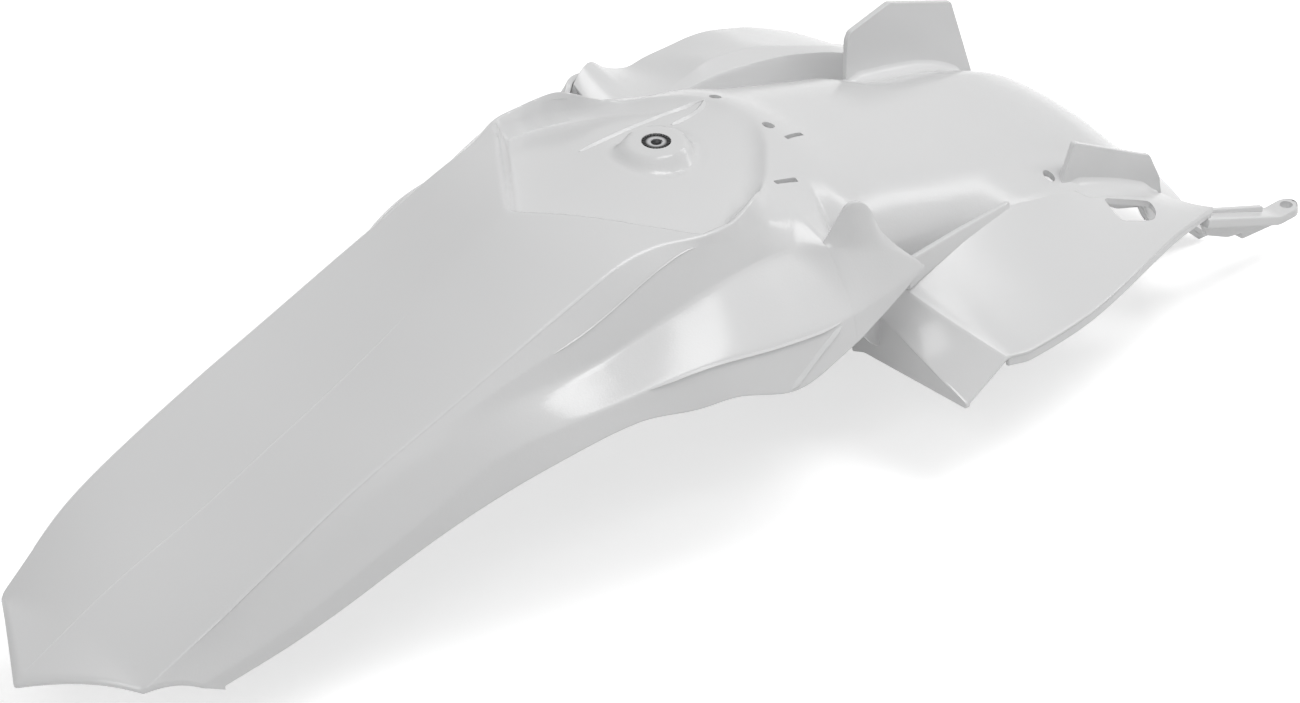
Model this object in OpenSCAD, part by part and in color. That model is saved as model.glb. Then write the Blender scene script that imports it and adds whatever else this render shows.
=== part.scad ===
// Motocross rear fender: one moulded shell and the metal insert for its seat bolt.
// Lengths run forward (x) from the tail tip, offsets run out from the middle plane
// to the vehicle's right and heights rise from the tail's lower edge. Each node is then
// moved so that the origin is the middle of the seat bolt insert's top face.

/* [Overall] */
// Length from the tail tip to the front edge of the saddle
body_len = 712; // [690:1:730]
// Thickness of the moulded wall
wall = 3; // [2.4:0.1:4]
// Half width of the tail between its side ridges
tail_half_w = 58; // [52:1:62]
// Half width of the saddle that spans the tyre
saddle_half_w = 78; // [76:1:82]

/* [Seat mounting] */
// Distance of the seat bolt from the tail tip
bolt_x = 395; // [385:1:405]
// Height of the insert's top face above the tail's lower edge
bolt_z = 118.6; // [116:0.1:122]
// Core diameter of the insert's thread
bolt_bore = 5; // [4.2:0.1:8.4]
// Outer diameter of the insert
insert_d = 14; // [12:0.5:16]
// Length of the insert
insert_len = 12; // [9:0.5:14]
// Radius of the round boss that holds the insert
boss_r = 14; // [12:0.5:16]
// Width of the boss's flared foot
boss_flare = 5; // [3:0.5:6]
// Depth of the moat round the boss
moat_depth = 1; // [0.5:0.5:2]

/* [Recess under the seat] */
// Distance of the recess's rear point from the tail tip
recess_x = 300; // [294:1:306]
// Width of the steep step at the recess's rear point
recess_step_w = 5; // [4:0.5:8]
// Width of the sloping wall at the recess's front
recess_wall_w = 9; // [7:1:12]

/* [Panels and tabs] */
// Distance of the side panels' cross fold from the tail tip
panel_fold_x = 496; // [488:1:504]
// Height of the right tab at its rear corner, over the panel
tab_h = 27; // [22:1:32]
// Height of the left tab at its rear corner, over the saddle
left_tab_h = 29; // [24:1:34]
// Diameter of the mounting hole in the front arm
arm_hole_d = 6.5; // [5:0.1:8]

/* [Hidden] */
// Columns across half of the top, and down a flank
half_n = 10;
flank_n = 6;
// Key curves as [length, value] points; each is read with curve()
mid_z = [[0, 3], [28, 15], [60, 28], [111, 43.5], [153, 58.5], [193, 73], [246, 96], [300, 120], [350, 126],
    [400, 121], [450, 113], [475, 103], [500, 94.5], [525, 86.5], [550, 79], [575, 72], [600, 66],
    [620, 60], [640, 50], [660, 34.5], [685, 9], [body_len, -16]];
side_r = [[34, 50], [80, tail_half_w - 1], [160, tail_half_w - 0.5], [240, tail_half_w + 0.5],
    [300, tail_half_w + 1.5], [335, tail_half_w + 4.5], [357, 70.5], [375, 72], [395, 69], [425, 66],
    [body_len, 66]];
side_z = [[34, 8], [80, 34], [120, 51], [160, 65.5], [200, 77.7], [240, 90], [280, 102], [320, 113],
    [357, 115], [375, 115], [395, 117.5], [425, 112]];
// Foot of the steep wall under the side ridge
waist_r = [[34, 54], [100, 60], [173, 62.5], [230, 66], [290, 70], [347, 78], [388, 79], [408, 84],
    [422, 96], [440, 103], [466, 108]];
waist_z = [[34, 4], [100, 30], [173, 62], [230, 73], [290, 74], [347, 89], [388, 92], [408, 92],
    [422, 91], [440, 87], [466, 69]];
// How far a second crease stands out of the middle of that wall, as offset and height
crease_out = [[200, 0], [283, 2], [309, 1], [334, -0.4], [352, -2.5], [380, 0]];
crease_up = [[200, 0], [240, 0.8], [283, 2.5], [309, 4.3], [334, 8], [352, 9], [380, 0]];
// Outer crease over the skirt's flange
crease_r = [[34, 57], [100, 64], [173, 70], [226, 76], [276, 89], [325, 102], [369, 110], [403, 114],
    [466, 108]];
crease_z = [[34, -1], [100, 12], [173, 36], [226, 56], [276, 64.5], [325, 71], [369, 68], [403, 67],
    [466, 68]];
// Lower edge of the flank and skirt
edge_r = [[34, 58], [113, 64.5], [169, 70], [211, 77], [250, 88], [291, 98], [342, 111], [373, 118],
    [403, 118], [431, 113], [466, 108]];
edge_z = [[34, -8], [91, 0], [113, 4], [141, 11], [169, 20], [211, 34], [250, 47], [291, 55], [321, 52],
    [342, 52], [373, 45], [403, 51], [431, 56], [466, 67]];
// Top edge of the ear that stands free ahead of the recess
ear_r = [[409, 84], [417, 88], [422, 91], [428, 95], [438, 98], [446, 101], [466, 108]];
ear_z = [[409, 92], [417, 93], [422, 103], [427, 112], [437, 109], [444, 93], [466, 68]];
// Crowned floor of the seat recess at its middle and its low sides, and its plan, in [length, offset]
floor_z = [[290, 114.5], [350, 114.5], [400, 114], [450, 112.8]];
floor_side_z = [[290, 112], [350, 107.5], [400, 103], [450, 96]];
floor_r = 58;
recess = [[recess_x, 0], [357, 70], [375, 71], [393, 67.5], [405, 62], [416, 54], [428, 42], [440, 27],
    [449, 14], [452, 0]];
// Lower edge of the saddle's side walls
wall_z = [[395, 66], [440, 40], [467, 8], [500, 8], [554, 6], [597, -2], [650, -6], [690, -16],
    [body_len, -38]];
// The left ear is lower, and runs on into the raised wing, as [length, height] and [length, offset]
left_ear_z = [[409, 92], [417, 93], [425, 98], [438, 96], [446, 88], [466, 68]];
wing_top_r = [[426, 90], [442, 94], [467, 98], [496, 102], [526, 106], [551, 110], [640, 110]];
wing_top_z = [[426, 98], [433, 102], [442, 103], [456, 93], [467, 88], [484, 87], [496, 86], [526, 81],
    [551, 72], [600, 48], [615, 37], [640, 20]];
// Crease along the middle of the wing, and the edge where its inner wall drops to the saddle
wing_crease_r = [[426, 70], [466, 70], [484, 75], [501, 80], [532, 84], [640, 84]];
wing_crease_z = [[426, 88], [440, 93], [466, 91], [484, 87], [501, 83.3], [532, 76.2], [565, 67],
    [604, 51], [640, 22]];
wing_edge_r = [[426, 66], [475, 66], [508, 67], [585, 67], [640, 70]];
wing_edge_z = [[426, 84], [440, 90], [466, 88], [475, 85.5], [508, 80.5], [532, 76], [555, 71.5],
    [585, 60], [612, 45], [640, 20]];
// Right panel: its rear fold, its cross fold, and its borders with their heights
flap_foot = [[465, 80, 27], [467, 136, 2]];
panel_fold = [[471, 86, 45], [panel_fold_x, 136, 17]];
panel_end = 672;
panel_in_r = [[471, 86], [510, 82], [556, 75], [597, 74], [panel_end, 72]];
panel_in_z = [[471, 46], [496, 47], [554, 47], [597, 39], [635, 24], [panel_end, 4]];
panel_out_r = [[496, 136], [510, 137.5], [558, 134], [635, 115], [panel_end, 105]];
panel_out_z = [[496, 17], [510, 15], [558, 15.5], [635, 16], [panel_end, 11]];
panel_sag = 5;
rim_h = 4.5;
window = [[614, 84], [645, 80], [650, 89], [622, 95]];
lip_top = [[473, 91, 60], [516, 82, 54], [558, 75, 49]];
// Locating holes and slits ahead of the recess, the slits as [length, offset, turn]
dot_x = 451;
dot_y = 18;
dot_d = 6;
slots = [[458, 28, -2], [429, 52, 3]];
slot_len = 14;
slot_w = 2.4;
// Upright tabs at the front of the saddle: their offsets, and the height that each stands on
tab_y = 70;
tab_foot = 33;
left_tab_y = 47;
left_tab_foot = 58;
// Middle of the hole beside the right tab
tab_hole_x = 594;
tab_hole_d = 6;
// Front arm, from its root to the middle of its hole
arm_root = [668, -102, 4];
arm_tip = [732, -101, -18];
arm_w = 12;
arm_t = 5;
arch_drop = 70;
arch_power = 2.35;
bolt = [bolt_x, 0, bolt_z];
// The skirts' front end closes in to the saddle's side walls between these stations
shoulder_x = 419;
shoulder_end = 440;
// The ear plate is set in from the skirt by this much where it grows out of it
ear_set = 1.1;

function mix(a, b, t) = a + (b - a) * t;
function clamp(v, low, high) = min(max(v, low), high);
function ease(t) = let (c = clamp(t, 0, 1)) c * c * (3 - 2 * c);
function slope(p, i) =
    let (a = max(i - 1, 0), b = min(i + 1, len(p) - 1)) (p[b][1] - p[a][1]) / (p[b][0] - p[a][0]);
function span(p, x, i = 0) = (i >= len(p) - 2 || x < p[i + 1][0]) ? i : span(p, x, i + 1);
// Smooth curve through the points p, read at x
function curve(p, x) =
    let (c = clamp(x, p[0][0], p[len(p) - 1][0]), i = span(p, c), d = p[i + 1][0] - p[i][0],
        t = (c - p[i][0]) / d, a = slope(p, i) * d, b = slope(p, i + 1) * d)
    (2 * t ^ 3 - 3 * t ^ 2 + 1) * p[i][1] + (t ^ 3 - 2 * t ^ 2 + t) * a
    + (3 * t ^ 2 - 2 * t ^ 3) * p[i + 1][1] + (t ^ 3 - t ^ 2) * b;
// Distance in plan from q to the stretch a b
function to_stretch(q, a, b) =
    let (t = clamp((q - a) * (b - a) / ((b - a) * (b - a)), 0, 1)) norm(q - a - t * (b - a));
function side_of(q, a, b) = (b[0] - a[0]) * (q[1] - a[1]) - (b[1] - a[1]) * (q[0] - a[0]);
// How deep q lies inside the recess outline, negative outside it
function inside_recess(q) =
    let (n = len(recess) - 1, d = min([for (i = [0:n - 1]) to_stretch(q, recess[i], recess[i + 1])]),
        out = len([for (i = [0:n - 1]) if (side_of(q, recess[i], recess[i + 1]) > 0) 1]))
    out == 0 ? d : -d;
// Drop of the saddle's arch at the offset r
function arch(r) =
    arch_drop * (1 - (1 - min(abs(r) / (saddle_half_w + 0.2), 1) ^ arch_power) ^ (1 / arch_power));
// Height of the top over the tail, then over the saddle, and the blend of the two
function tail_top(x, r) = mix(curve(mid_z, x), curve(side_z, x), (abs(r) / curve(side_r, x)) ^ 1.5);
function saddle_top(x, r) = curve(mid_z, x) - arch(r);
function plain_top(x, r) = mix(tail_top(x, r), saddle_top(x, r), ease((x - 392) / 44));
function recess_floor(x, r) = mix(curve(floor_z, x), curve(floor_side_z, x), (abs(r) / floor_r) ^ 1.6);
// Height of the top with its recess, and the flared boss with a shallow moat round it
function top_z(x, r) =
    let (plain = plain_top(x, r),
        wide = mix(recess_step_w, recess_wall_w, ease((x - 340) / 70)),
        deep = ease(inside_recess([x, abs(r)]) / wide),
        z = mix(plain, min(recess_floor(x, r), plain), deep),
        off = norm([x - bolt_x, r]),
        moat = z - moat_depth * ease((boss_r + 11 - off) / 7))
    mix(moat, bolt_z, ease((boss_r + boss_flare - off) / boss_flare));
// The tail's end is a V in plan, so its first stations lead by this much
function led(x, lead) = x + lead * (1 - clamp(x / 140, 0, 1)) ^ 2;
function top_point(x, t) =
    let (l = led(x, 34 * abs(t)), r = t * curve(side_r, max(l, 34))) [l, -r, top_z(l, r)];
function along(key, v) = let (s = clamp(v * 3, 0, 2.999), i = floor(s)) mix(key[i], key[i + 1], s - i);
function flank_key(x) =
    let (r = curve(side_r, x))
    [[r, plain_top(x, r)], [curve(waist_r, x), curve(waist_z, x)], [curve(crease_r, x), curve(crease_z, x)],
        [curve(edge_r, x), curve(edge_z, x)]];
// The wall under the ridge is broken by a second crease that meets the recess's corner
function second_crease(x, v) = [curve(crease_out, x), curve(crease_up, x)] * max(0, 1 - abs(6 * v - 1));
// Point of the right flank at v from the ridge, 0, to the lower edge, 1
function flank_point(x, v) =
    let (l = led(x, 34 + 38 * v), p = along(flank_key(l), v) + second_crease(l, v)) [l, -p[0], p[1]];
// The ear is a plate from its own top edge down to the skirt's edge
function ear_point(x, v, ear) =
    let (waist = [curve(waist_r, x), min(curve(waist_z, x), curve(ear, x) - 1)],
        p = along([[curve(ear_r, x), curve(ear, x)], waist, [curve(crease_r, x), curve(crease_z, x)],
            [curve(edge_r, x), curve(edge_z, x)]], v))
    [x, ear_set - p[0], p[1]];
// Offset at which the saddle's arch has dropped by d
function arch_reach(d) =
    d >= arch_drop ? saddle_half_w
    : saddle_half_w * (1 - (1 - d / arch_drop) ^ arch_power) ^ (1 / arch_power);
function saddle_wall_point(x, v) =
    let (low = curve(wall_z, x), reach = arch_reach(curve(mid_z, x) - low),
        r = mix(curve(side_r, x), reach, min(v * 2, 1)), z = plain_top(x, r))
    [x, -r, v <= 0.5 ? z : mix(z, min(z - 1, low), v * 2 - 1)];
// Outer part of the shell: the flank as far as the shoulder, then the saddle's side wall
function outer_point(x, v) =
    x <= shoulder_x ? flank_point(x, v) : x >= shoulder_end ? saddle_wall_point(x, v)
    : mix(flank_point(shoulder_x, v), saddle_wall_point(shoulder_end, v),
        (x - shoulder_x) / (shoulder_end - shoulder_x));
function flip(p) = [p[0], -p[1], p[2]];
function steps(a, b, n) = [for (i = [0:n]) mix(a, b, i / n)];
// Upward normal of a grid whose rows run forward and whose columns run to the right
function grid_normal(g, i, j) =
    let (across = g[i][min(j + 1, len(g[0]) - 1)] - g[i][max(j - 1, 0)],
        ahead = g[min(i + 1, len(g) - 1)][j] - g[max(i - 1, 0)][j], n = cross(across, ahead))
    n / max(norm(n), 0.0001);

// Closed wall of thickness t under a grid of points
module sheet(g, t = wall) {
    m = len(g);
    n = len(g[0]);
    upper = [for (row = g) each row];
    lower = [for (i = [0:m - 1]) for (j = [0:n - 1]) g[i][j] - t * grid_normal(g, i, j)];
    half = m * n;
    quads = [for (i = [0:m - 2]) for (j = [0:n - 2]) let (a = i * n + j) [a, a + n, a + n + 1, a + 1]];
    rim = concat([for (j = [0:n - 1]) j], [for (i = [1:m - 1]) i * n + n - 1],
        [for (j = [n - 2:-1:0]) (m - 1) * n + j], [for (i = [m - 2:-1:1]) i * n]);
    tops = [for (q = quads) each [[q[0], q[1], q[2]], [q[0], q[2], q[3]]]];
    lows = [for (q = quads) each [[q[2] + half, q[1] + half, q[0] + half],
        [q[3] + half, q[2] + half, q[0] + half]]];
    rims = [for (k = [0:len(rim) - 1]) let (a = rim[k], b = rim[(k + 1) % len(rim)])
        each [[a, b, b + half], [a, b + half, a + half]]];
    polyhedron(concat(upper, lower), concat(tops, lows, rims), convexity = 8);
}

// Plate of thickness t whose outline lies in the [length, height] plane at the offset y
module upright(outline, y, t = wall) {
    translate([0, y + t / 2, 0])
        rotate([90, 0, 0])
            linear_extrude(t)
                polygon(outline);
}

// Top, flanks and saddle as one moulded wall; stations lie closer together along the recess
module main_skin() {
    rows = concat(steps(0, 290, 12), steps(297, shoulder_x, 16), steps(shoulder_x + 7, 461, 5),
        steps(472, body_len, 12));
    sheet([for (x = rows) concat([for (v = steps(1, 1 / flank_n, flank_n - 1)) flip(outer_point(x, v))],
        [for (t = steps(-1, 1, 2 * half_n)) top_point(x, t)],
        [for (v = steps(1 / flank_n, 1, flank_n - 1)) outer_point(x, v)])]);
}

module ear_plate(ear) {
    rows = concat([415, 419], steps(423, 465, 7));
    sheet([for (x = rows) [for (v = steps(0, 1, flank_n)) ear_point(x, v, ear)]]);
}

// Raised wing along the left side: outer wall, a top with a crease along it, and an inner wall
module left_wing() {
    sheet([for (x = steps(426, 640, 18))
        let (r = curve(wing_top_r, x), z = curve(wing_top_z, x), edge_r = curve(wing_edge_r, x),
            edge_z = min(curve(wing_edge_z, x), z - 1),
            wall_foot = min(edge_z - 6, saddle_top(x, edge_r - 3) - 5))
        [[x, r + 3, z - 22], [x, r + 1, z - 3], [x, r, z],
            [x, curve(wing_crease_r, x), min(curve(wing_crease_z, x), z)],
            [x, edge_r, edge_z], [x, edge_r - 3, wall_foot]]]);
}

function panel_point(x, t) =
    let (rear = panel_fold[0][0],
        l = x + (panel_fold[1][0] - rear) * t * clamp((560 - x) / (560 - rear), 0, 1))
    [l, -mix(curve(panel_in_r, l), curve(panel_out_r, l), t),
        mix(curve(panel_in_z, l), curve(panel_out_z, l), t) - panel_sag * 4 * t * (1 - t)];
function between(a, b, t) = [mix(a[0], b[0], t), -mix(a[1], b[1], t), mix(a[2], b[2], t)];

module right_panel() {
    fold_x = panel_fold[0][0];
    flap = [for (s = [0, 0.5]) [for (t = steps(0, 1, 6))
        mix(between(flap_foot[0], flap_foot[1], t), panel_point(fold_x, t), s)]];
    sheet(concat(flap,
        [for (x = steps(fold_x, panel_end, 14)) [for (t = steps(0, 1, 6)) panel_point(x, t)]]));
    // Folded rim along the outer border
    sheet([for (x = steps(fold_x, panel_end, 10))
        let (p = panel_point(x, 1)) [p + [0, 1.5, -0.5], p + [0, 0, -rim_h]]]);
    // Free lip along the inner border
    sheet([for (p = lip_top) [[p[0], -p[1], p[2]], [p[0], -p[1] - 1, curve(panel_in_z, p[0]) - 2]]]);
}

// Wall that closes the panel's rear end under the fold of its flap
module rear_web() {
    x = 467;
    translate([x, 0, 0])
        rotate([90, 0, 90])
            linear_extrude(wall)
                polygon([[-136, 0], [-136, 3], [-80, 27], [-72, 30], [-58, 16], [-60, -3], [-68, 0]]);
}

module front_arm() {
    hull() {
        translate(arm_root)
            cube([2, arm_w, arm_t], center = true);
        translate(arm_tip - [10, 0, 0])
            cube([2, arm_w, arm_t], center = true);
    }
    translate(arm_tip - [0, 0, arm_t / 2])
        linear_extrude(arm_t)
            union() {
                circle(d = arm_w, $fn = 32);
                translate([-11, -arm_w / 2])
                    square([11, arm_w]);
            }
    upright([[648, -6], [672, 6], [716, -10], [712, -22], [690, -18], [660, -10]], -99);
    upright([[700, -12], [728, -20], [729, -26], [702, -24]], -96, 6);
}

module tabs() {
    // Right tab over the panel, then the taller left one
    upright([[596, 36], [600, 44], [607, tab_foot + tab_h], [656, tab_foot + tab_h - 27],
        [662, tab_foot + tab_h - 30], [670, 14], [673, -4], [640, 8]], -tab_y);
    upright([[567, 48], [568, left_tab_foot + left_tab_h - 4], [570, left_tab_foot + left_tab_h],
        [597, left_tab_foot + left_tab_h + 6], [641, left_tab_foot + left_tab_h - 11], [657, 30],
        [658, 12], [615, 36]], left_tab_y);
}

module solid_shell() {
    main_skin();
    ear_plate(ear_z);
    mirror([0, 1, 0])
        ear_plate(left_ear_z);
    left_wing();
    right_panel();
    rear_web();
    front_arm();
    tabs();
}

// Window in the panel, locating holes and slits
module small_openings() {
    translate([0, 0, -5])
        linear_extrude(60)
            polygon([for (p = window) [p[0], -p[1]]]);
    for (side = [-1, 1])
        translate([dot_x, side * dot_y, 95])
            cylinder(d = dot_d, h = 30, $fn = 16);
    for (s = slots)
        translate([s[0], -s[1], 96])
            rotate([0, 0, -s[2]])
                translate([-slot_len / 2, -slot_w / 2, 0])
                    cube([slot_len, slot_w, 30]);
    translate([tab_hole_x, 3 - tab_y, 40])
        cylinder(d = tab_hole_d, h = 20, $fn = 16);
}

module fender_shell() {
    color("white")
        translate(-bolt)
            difference() {
                minkowski() {
                    difference() {
                        solid_shell();
                        small_openings();
                    }
                }
                // Seat for the insert, open through the boss
                translate(bolt - [0, 0, insert_len + 8])
                    cylinder(d = insert_d, h = insert_len + 10, $fn = 64);
                translate(arm_tip)
                    cylinder(d = arm_hole_d, h = 30, center = true, $fn = 48);
            }
}

module seat_bolt_insert() {
    color("silver")
        translate([0, 0, -insert_len])
            difference() {
                cylinder(d = insert_d, h = insert_len, $fn = 64);
                translate([0, 0, -1])
                    cylinder(d = bolt_bore, h = insert_len + 2, $fn = 64);
            }
}

fender_shell();
seat_bolt_insert();
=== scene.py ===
import math

import bmesh
import bpy
import numpy as np
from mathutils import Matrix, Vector


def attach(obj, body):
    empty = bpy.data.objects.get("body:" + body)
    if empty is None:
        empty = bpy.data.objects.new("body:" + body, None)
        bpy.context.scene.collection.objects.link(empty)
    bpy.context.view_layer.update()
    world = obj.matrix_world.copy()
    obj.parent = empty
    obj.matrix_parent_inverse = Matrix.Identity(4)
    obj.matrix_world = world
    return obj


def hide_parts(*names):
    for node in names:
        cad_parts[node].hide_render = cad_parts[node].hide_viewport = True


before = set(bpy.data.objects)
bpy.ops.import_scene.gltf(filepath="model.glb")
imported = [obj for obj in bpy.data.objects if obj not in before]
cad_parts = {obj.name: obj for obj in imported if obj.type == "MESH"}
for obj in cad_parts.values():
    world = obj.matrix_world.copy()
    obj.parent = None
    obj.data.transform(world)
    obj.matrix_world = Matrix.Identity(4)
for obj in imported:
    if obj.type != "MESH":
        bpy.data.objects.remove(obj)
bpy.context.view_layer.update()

# Driving sizes of the fender in millimetres, from the tail tip, as in the part's source
BODY_LEN = 712.0
WALL = 3.0
TAIL_HALF = 58.0
SADDLE_HALF = 78.0
BOLT_X = 395.0
BOLT_Z = 118.6
BOSS_R = 14.0
BOSS_FLARE = 5.0
BOSS_TAIL_FLARE = 3.5
INSERT_SEAT_R = 7.05
MOAT_DEPTH = 1.0
MOAT_REACH = 11.0
MOAT_SLOPE = 7.0
RECESS_X = 300.0
RECESS_STEP = 5.0
RECESS_WALL = 13.0
# From here forward the recess's wall turns steep at its top
STEEP_START = 380.0
STEEP_BLEND = 25.0
# Start and length of the stretch where the recess's step widens into its wall, on either side
LEFT_WIDENING = (392, 34)
RIGHT_WIDENING = (340, 70)
TOP_LIMIT = 121.2
SHOULDER_X = 419.0
SHOULDER_END = 440.0
ARCH_DROP = 70.0
ARCH_POWER = 2.35
ARCH_START = 392.0
ARCH_BLEND = 44.0
TIP_LEAD = 34.0
EDGE_LEAD = 38.0
LEAD_END = 140.0
LIP_DROP = 2.2
LIP_LEN = 5.0
BOLT = np.array([BOLT_X, 0.0, BOLT_Z])

# Key curves as (length, value) points: R is the offset from the middle, Z the height
MID_Z = [(0, 3), (28, 15), (60, 28), (111, 43.5), (153, 58.5), (193, 73), (246, 96), (300, 120), (350, 126),
         (400, 121), (450, 113), (475, 103), (500, 94.5), (525, 86.5), (550, 79), (575, 72), (600, 66), (620, 60),
         (640, 50), (660, 34.5), (685, 9), (BODY_LEN, -16)]
SIDE_R = [(34, 50), (80, TAIL_HALF - 1), (160, TAIL_HALF - 0.5), (240, TAIL_HALF + 0.5), (300, TAIL_HALF + 1.5),
          (335, TAIL_HALF + 4.5), (357, 71.5), (375, 72.3), (386, 69.5), (396, 65.2), (409, 57.2), (420, 51),
          (445, 50), (480, 64), (BODY_LEN, 66)]
SIDE_Z = [(34, 8), (80, 34), (120, 51), (160, 65.5), (200, 77.7), (240, 90), (280, 102), (320, 113), (357, 115),
          (375, 115), (395, 117.5), (425, 112)]
WAIST_R = [(34, 54), (100, 60), (173, 62.5), (230, 66), (290, 70), (347, 78), (388, 79), (408, 84), (422, 96),
           (440, 103), (466, 108)]
WAIST_Z = [(34, 4), (100, 30), (173, 62), (230, 73), (290, 74), (347, 89), (388, 92), (408, 92), (422, 91),
           (440, 87), (466, 69)]
SECOND_OUT = [(200, 0), (283, 2), (309, 1), (334, -0.4), (352, -2.5), (380, 0)]
SECOND_UP = [(200, 0), (240, 0.8), (283, 2.5), (309, 4.3), (334, 8), (352, 9), (380, 0)]
CREASE_R = [(34, 57), (100, 64), (173, 70), (226, 76), (276, 89), (325, 102), (369, 110), (403, 114), (466, 108)]
CREASE_Z = [(34, -1), (100, 12), (173, 36), (226, 56), (276, 64.5), (325, 71), (369, 68), (403, 67), (466, 68)]
EDGE_R = [(34, 58), (113, 64.5), (169, 70), (211, 77), (250, 88), (291, 98), (342, 111), (373, 118), (403, 118),
          (431, 113), (466, 108)]
EDGE_Z = [(34, -8), (91, 0), (113, 4), (141, 11), (169, 20), (211, 34), (250, 47), (291, 55), (321, 52), (342, 52),
          (373, 45), (403, 51), (431, 56), (466, 67)]
EAR_R = [(409, 84), (417, 88), (422, 91), (428, 95), (438, 98), (446, 101), (466, 108)]
EAR_Z = [(409, 92), (417, 93), (422, 103), (427, 112), (437, 109), (444, 93), (466, 68)]
LEFT_EAR_Z = [(409, 92), (417, 93), (425, 98), (438, 96), (446, 88), (466, 68)]
EAR_START = 408
EAR_END = 465.5
FLOOR_Z = [(290, 114.5), (350, 114.5), (400, 114), (450, 112.8)]
FLOOR_SIDE_Z = [(290, 112), (350, 107.5), (400, 103), (450, 96)]
FLOOR_R = 58.0
RECESS = [(RECESS_X + 1.4, 0), (303.2, 3.5), (307, 8.8), (357, 70), (374, 71.3), (385, 68.8), (395, 64.6),
          (408, 56.8), (422, 46), (438, 29.5), (448, 15), (452, 0)]
WALL_Z = [(395, 66), (440, 40), (467, 8), (500, 8), (554, 6), (597, -2), (650, -6), (690, -16), (BODY_LEN, -38)]
WING_START = 426.0
WING_END = 640.0
WING_TOP_R = [(426, 90), (442, 95), (458, 101), (475, 106), (533, 106.5), (550, 108.5), (565, 110), (640, 110)]
WING_TOP_Z = [(426, 98), (433, 102), (442, 102), (456, 91), (475, 80.5), (489, 80.5), (504, 80.2), (519, 80),
              (533, 77.6), (550, 71.3), (565, 65.1), (586, 54.9), (600, 46.9), (615, 36), (630, 28.8), (640, 22)]
WING_CREASE_R = [(426, 70), (466, 70), (484, 74), (640, 74)]
WING_CREASE_Z = [(426, 86), (440, 88), (466, 85), (482, 84.4), (499, 87.7), (516, 85.5), (531, 82.5), (557, 72.7),
                 (592, 57.9), (615, 43), (640, 27)]
WING_EDGE_R = [(426, 66), (640, 66)]
WING_EDGE_Z = [(426, 84), (440, 87), (466, 84.5), (477, 84), (501, 83.1), (532, 78.2), (556, 72), (586, 60.3),
               (612, 44), (640, 24)]

# Right panel, its flap, rim, lip and window
FLAP_FOOT = [(465, 80, 27), (467, 136, 2)]
PANEL_REAR_X = 471.0
PANEL_OUTER_REAR_X = 496.0
PANEL_SQUARE_X = 560.0
PANEL_FRONT_X = 672.0
PANEL_IN_R = [(471, 86), (510, 82), (556, 75), (597, 74), (672, 72)]
PANEL_IN_Z = [(471, 46), (496, 47), (554, 47), (597, 39), (635, 24), (672, 4)]
PANEL_OUT_R = [(496, 136), (510, 137.5), (558, 134), (635, 115), (672, 105)]
PANEL_OUT_Z = [(496, 17), (510, 15), (558, 15.5), (635, 16), (672, 11)]
PANEL_SAG = 1.4
RIM_H = 5.6
WINDOW = [(618, 81), (648, 85), (642, 95), (634, 101), (615, 96)]
LIP_TOP = [(473, 91, 60), (516, 82, 54), (558, 75, 49)]
REAR_WEB_X = 468.5
# Upright plates as outlines in (length or offset, height)
REAR_WEB = [(136, 0), (136, 3), (80, 27), (72, 30), (58, 16), (60, -3), (68, 0)]
RIGHT_TAB_Y = -70.0
RIGHT_TAB = [(596, 36), (600, 44), (607, 60), (656, 33), (662, 30), (670, 14), (673, -4), (640, 8)]
LEFT_TAB_Y = 47.0
LEFT_TAB = [(567, 48), (568, 83), (570, 87), (597, 93), (641, 76), (657, 30), (658, 12), (615, 36)]
ARM_STIFFENER_Y = -99.0
ARM_STIFFENER = [(670, 0), (674, 6), (716, -10), (712, -21), (690, -17), (674, -9)]
ARM_FINGER_Y = -96.0
ARM_FINGER_T = 6.0
ARM_FINGER = [(700, -12), (728, -20), (729, -26), (702, -24)]

# Creases of the recess floor as (length, offset to the left) points
FLOOR_CREASES = [[(369.5, 25.6), (383.4, 26), (399.1, 26.2), (415.2, 25.3), (427.4, 24.4), (440, 21.1),
                  (444, 18.7)],
                 [(417, 12.8), (429.8, 13.2), (439, 15.6), (444, 18.3)]]

# Front arm and the small openings
ARM_ROOT = (668, -102, 4)
ARM_TIP = (732, -101, -18)
ARM_W = 12.0
ARM_T = 5.0
ARM_HOLE_D = 6.5
DOT_X = 451.0
DOT_Y = 18.0
DOT_D = 6.0
TAB_HOLE_X = 594.0
TAB_HOLE_Y = -67.0
TAB_HOLE_D = 6.0
# Length, offset to the right and turn in degrees of each slit
SLOTS = [(458, 28, -12), (429, 52, 3)]
SLOT_LEN = 14.0
SLOT_W = 2.4
TAB_HOLLOW = 6.5
# Start and end of the fillets at the feet of the tabs
LEFT_FOOT = (565, 656)
RIGHT_FOOT = (599, 668)
# Where the filled join between the saddle and the right panel starts, as an offset
SADDLE_JOIN_R = 48.0
# Stretches as (start, ramp, end, ramp)
SADDLE_JOIN_X = (508, 52, 664, 16)
TAB_HOLLOW_X = (542, 30, 670, 26)
TAB_HOLLOW_LEFT = (5, 33, 74, 20)

CAMERA_PLACE = (-1.9254, -2.0106, 1.6904)
CAMERA_AIM = (-0.004, 0, -0.1156)
LENS = 192.84
FILM_WIDTH = 36.0
# Rounding of a wall's rim and of an upright plate's corners
RIM = 0.7
SLAB_CORNER = 1.6
TEETH_SEED = 4

WHITE = (1.0, 1.0, 1.0, 1.0)
ROOM_LEVEL = 0.35
FLOOR_GLOW = 0.55


def mix(a, b, t):
    return a + (b - a) * t


def ease(t):
    c = np.clip(t, 0.0, 1.0)
    return c * c * (3 - 2 * c)


def stretch(v, start, start_ramp, end, end_ramp):
    """One along a stretch, nought outside it, with a ramp of the given length at either end."""
    return ease((v - start) / start_ramp) * ease((end - v) / end_ramp)


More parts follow.
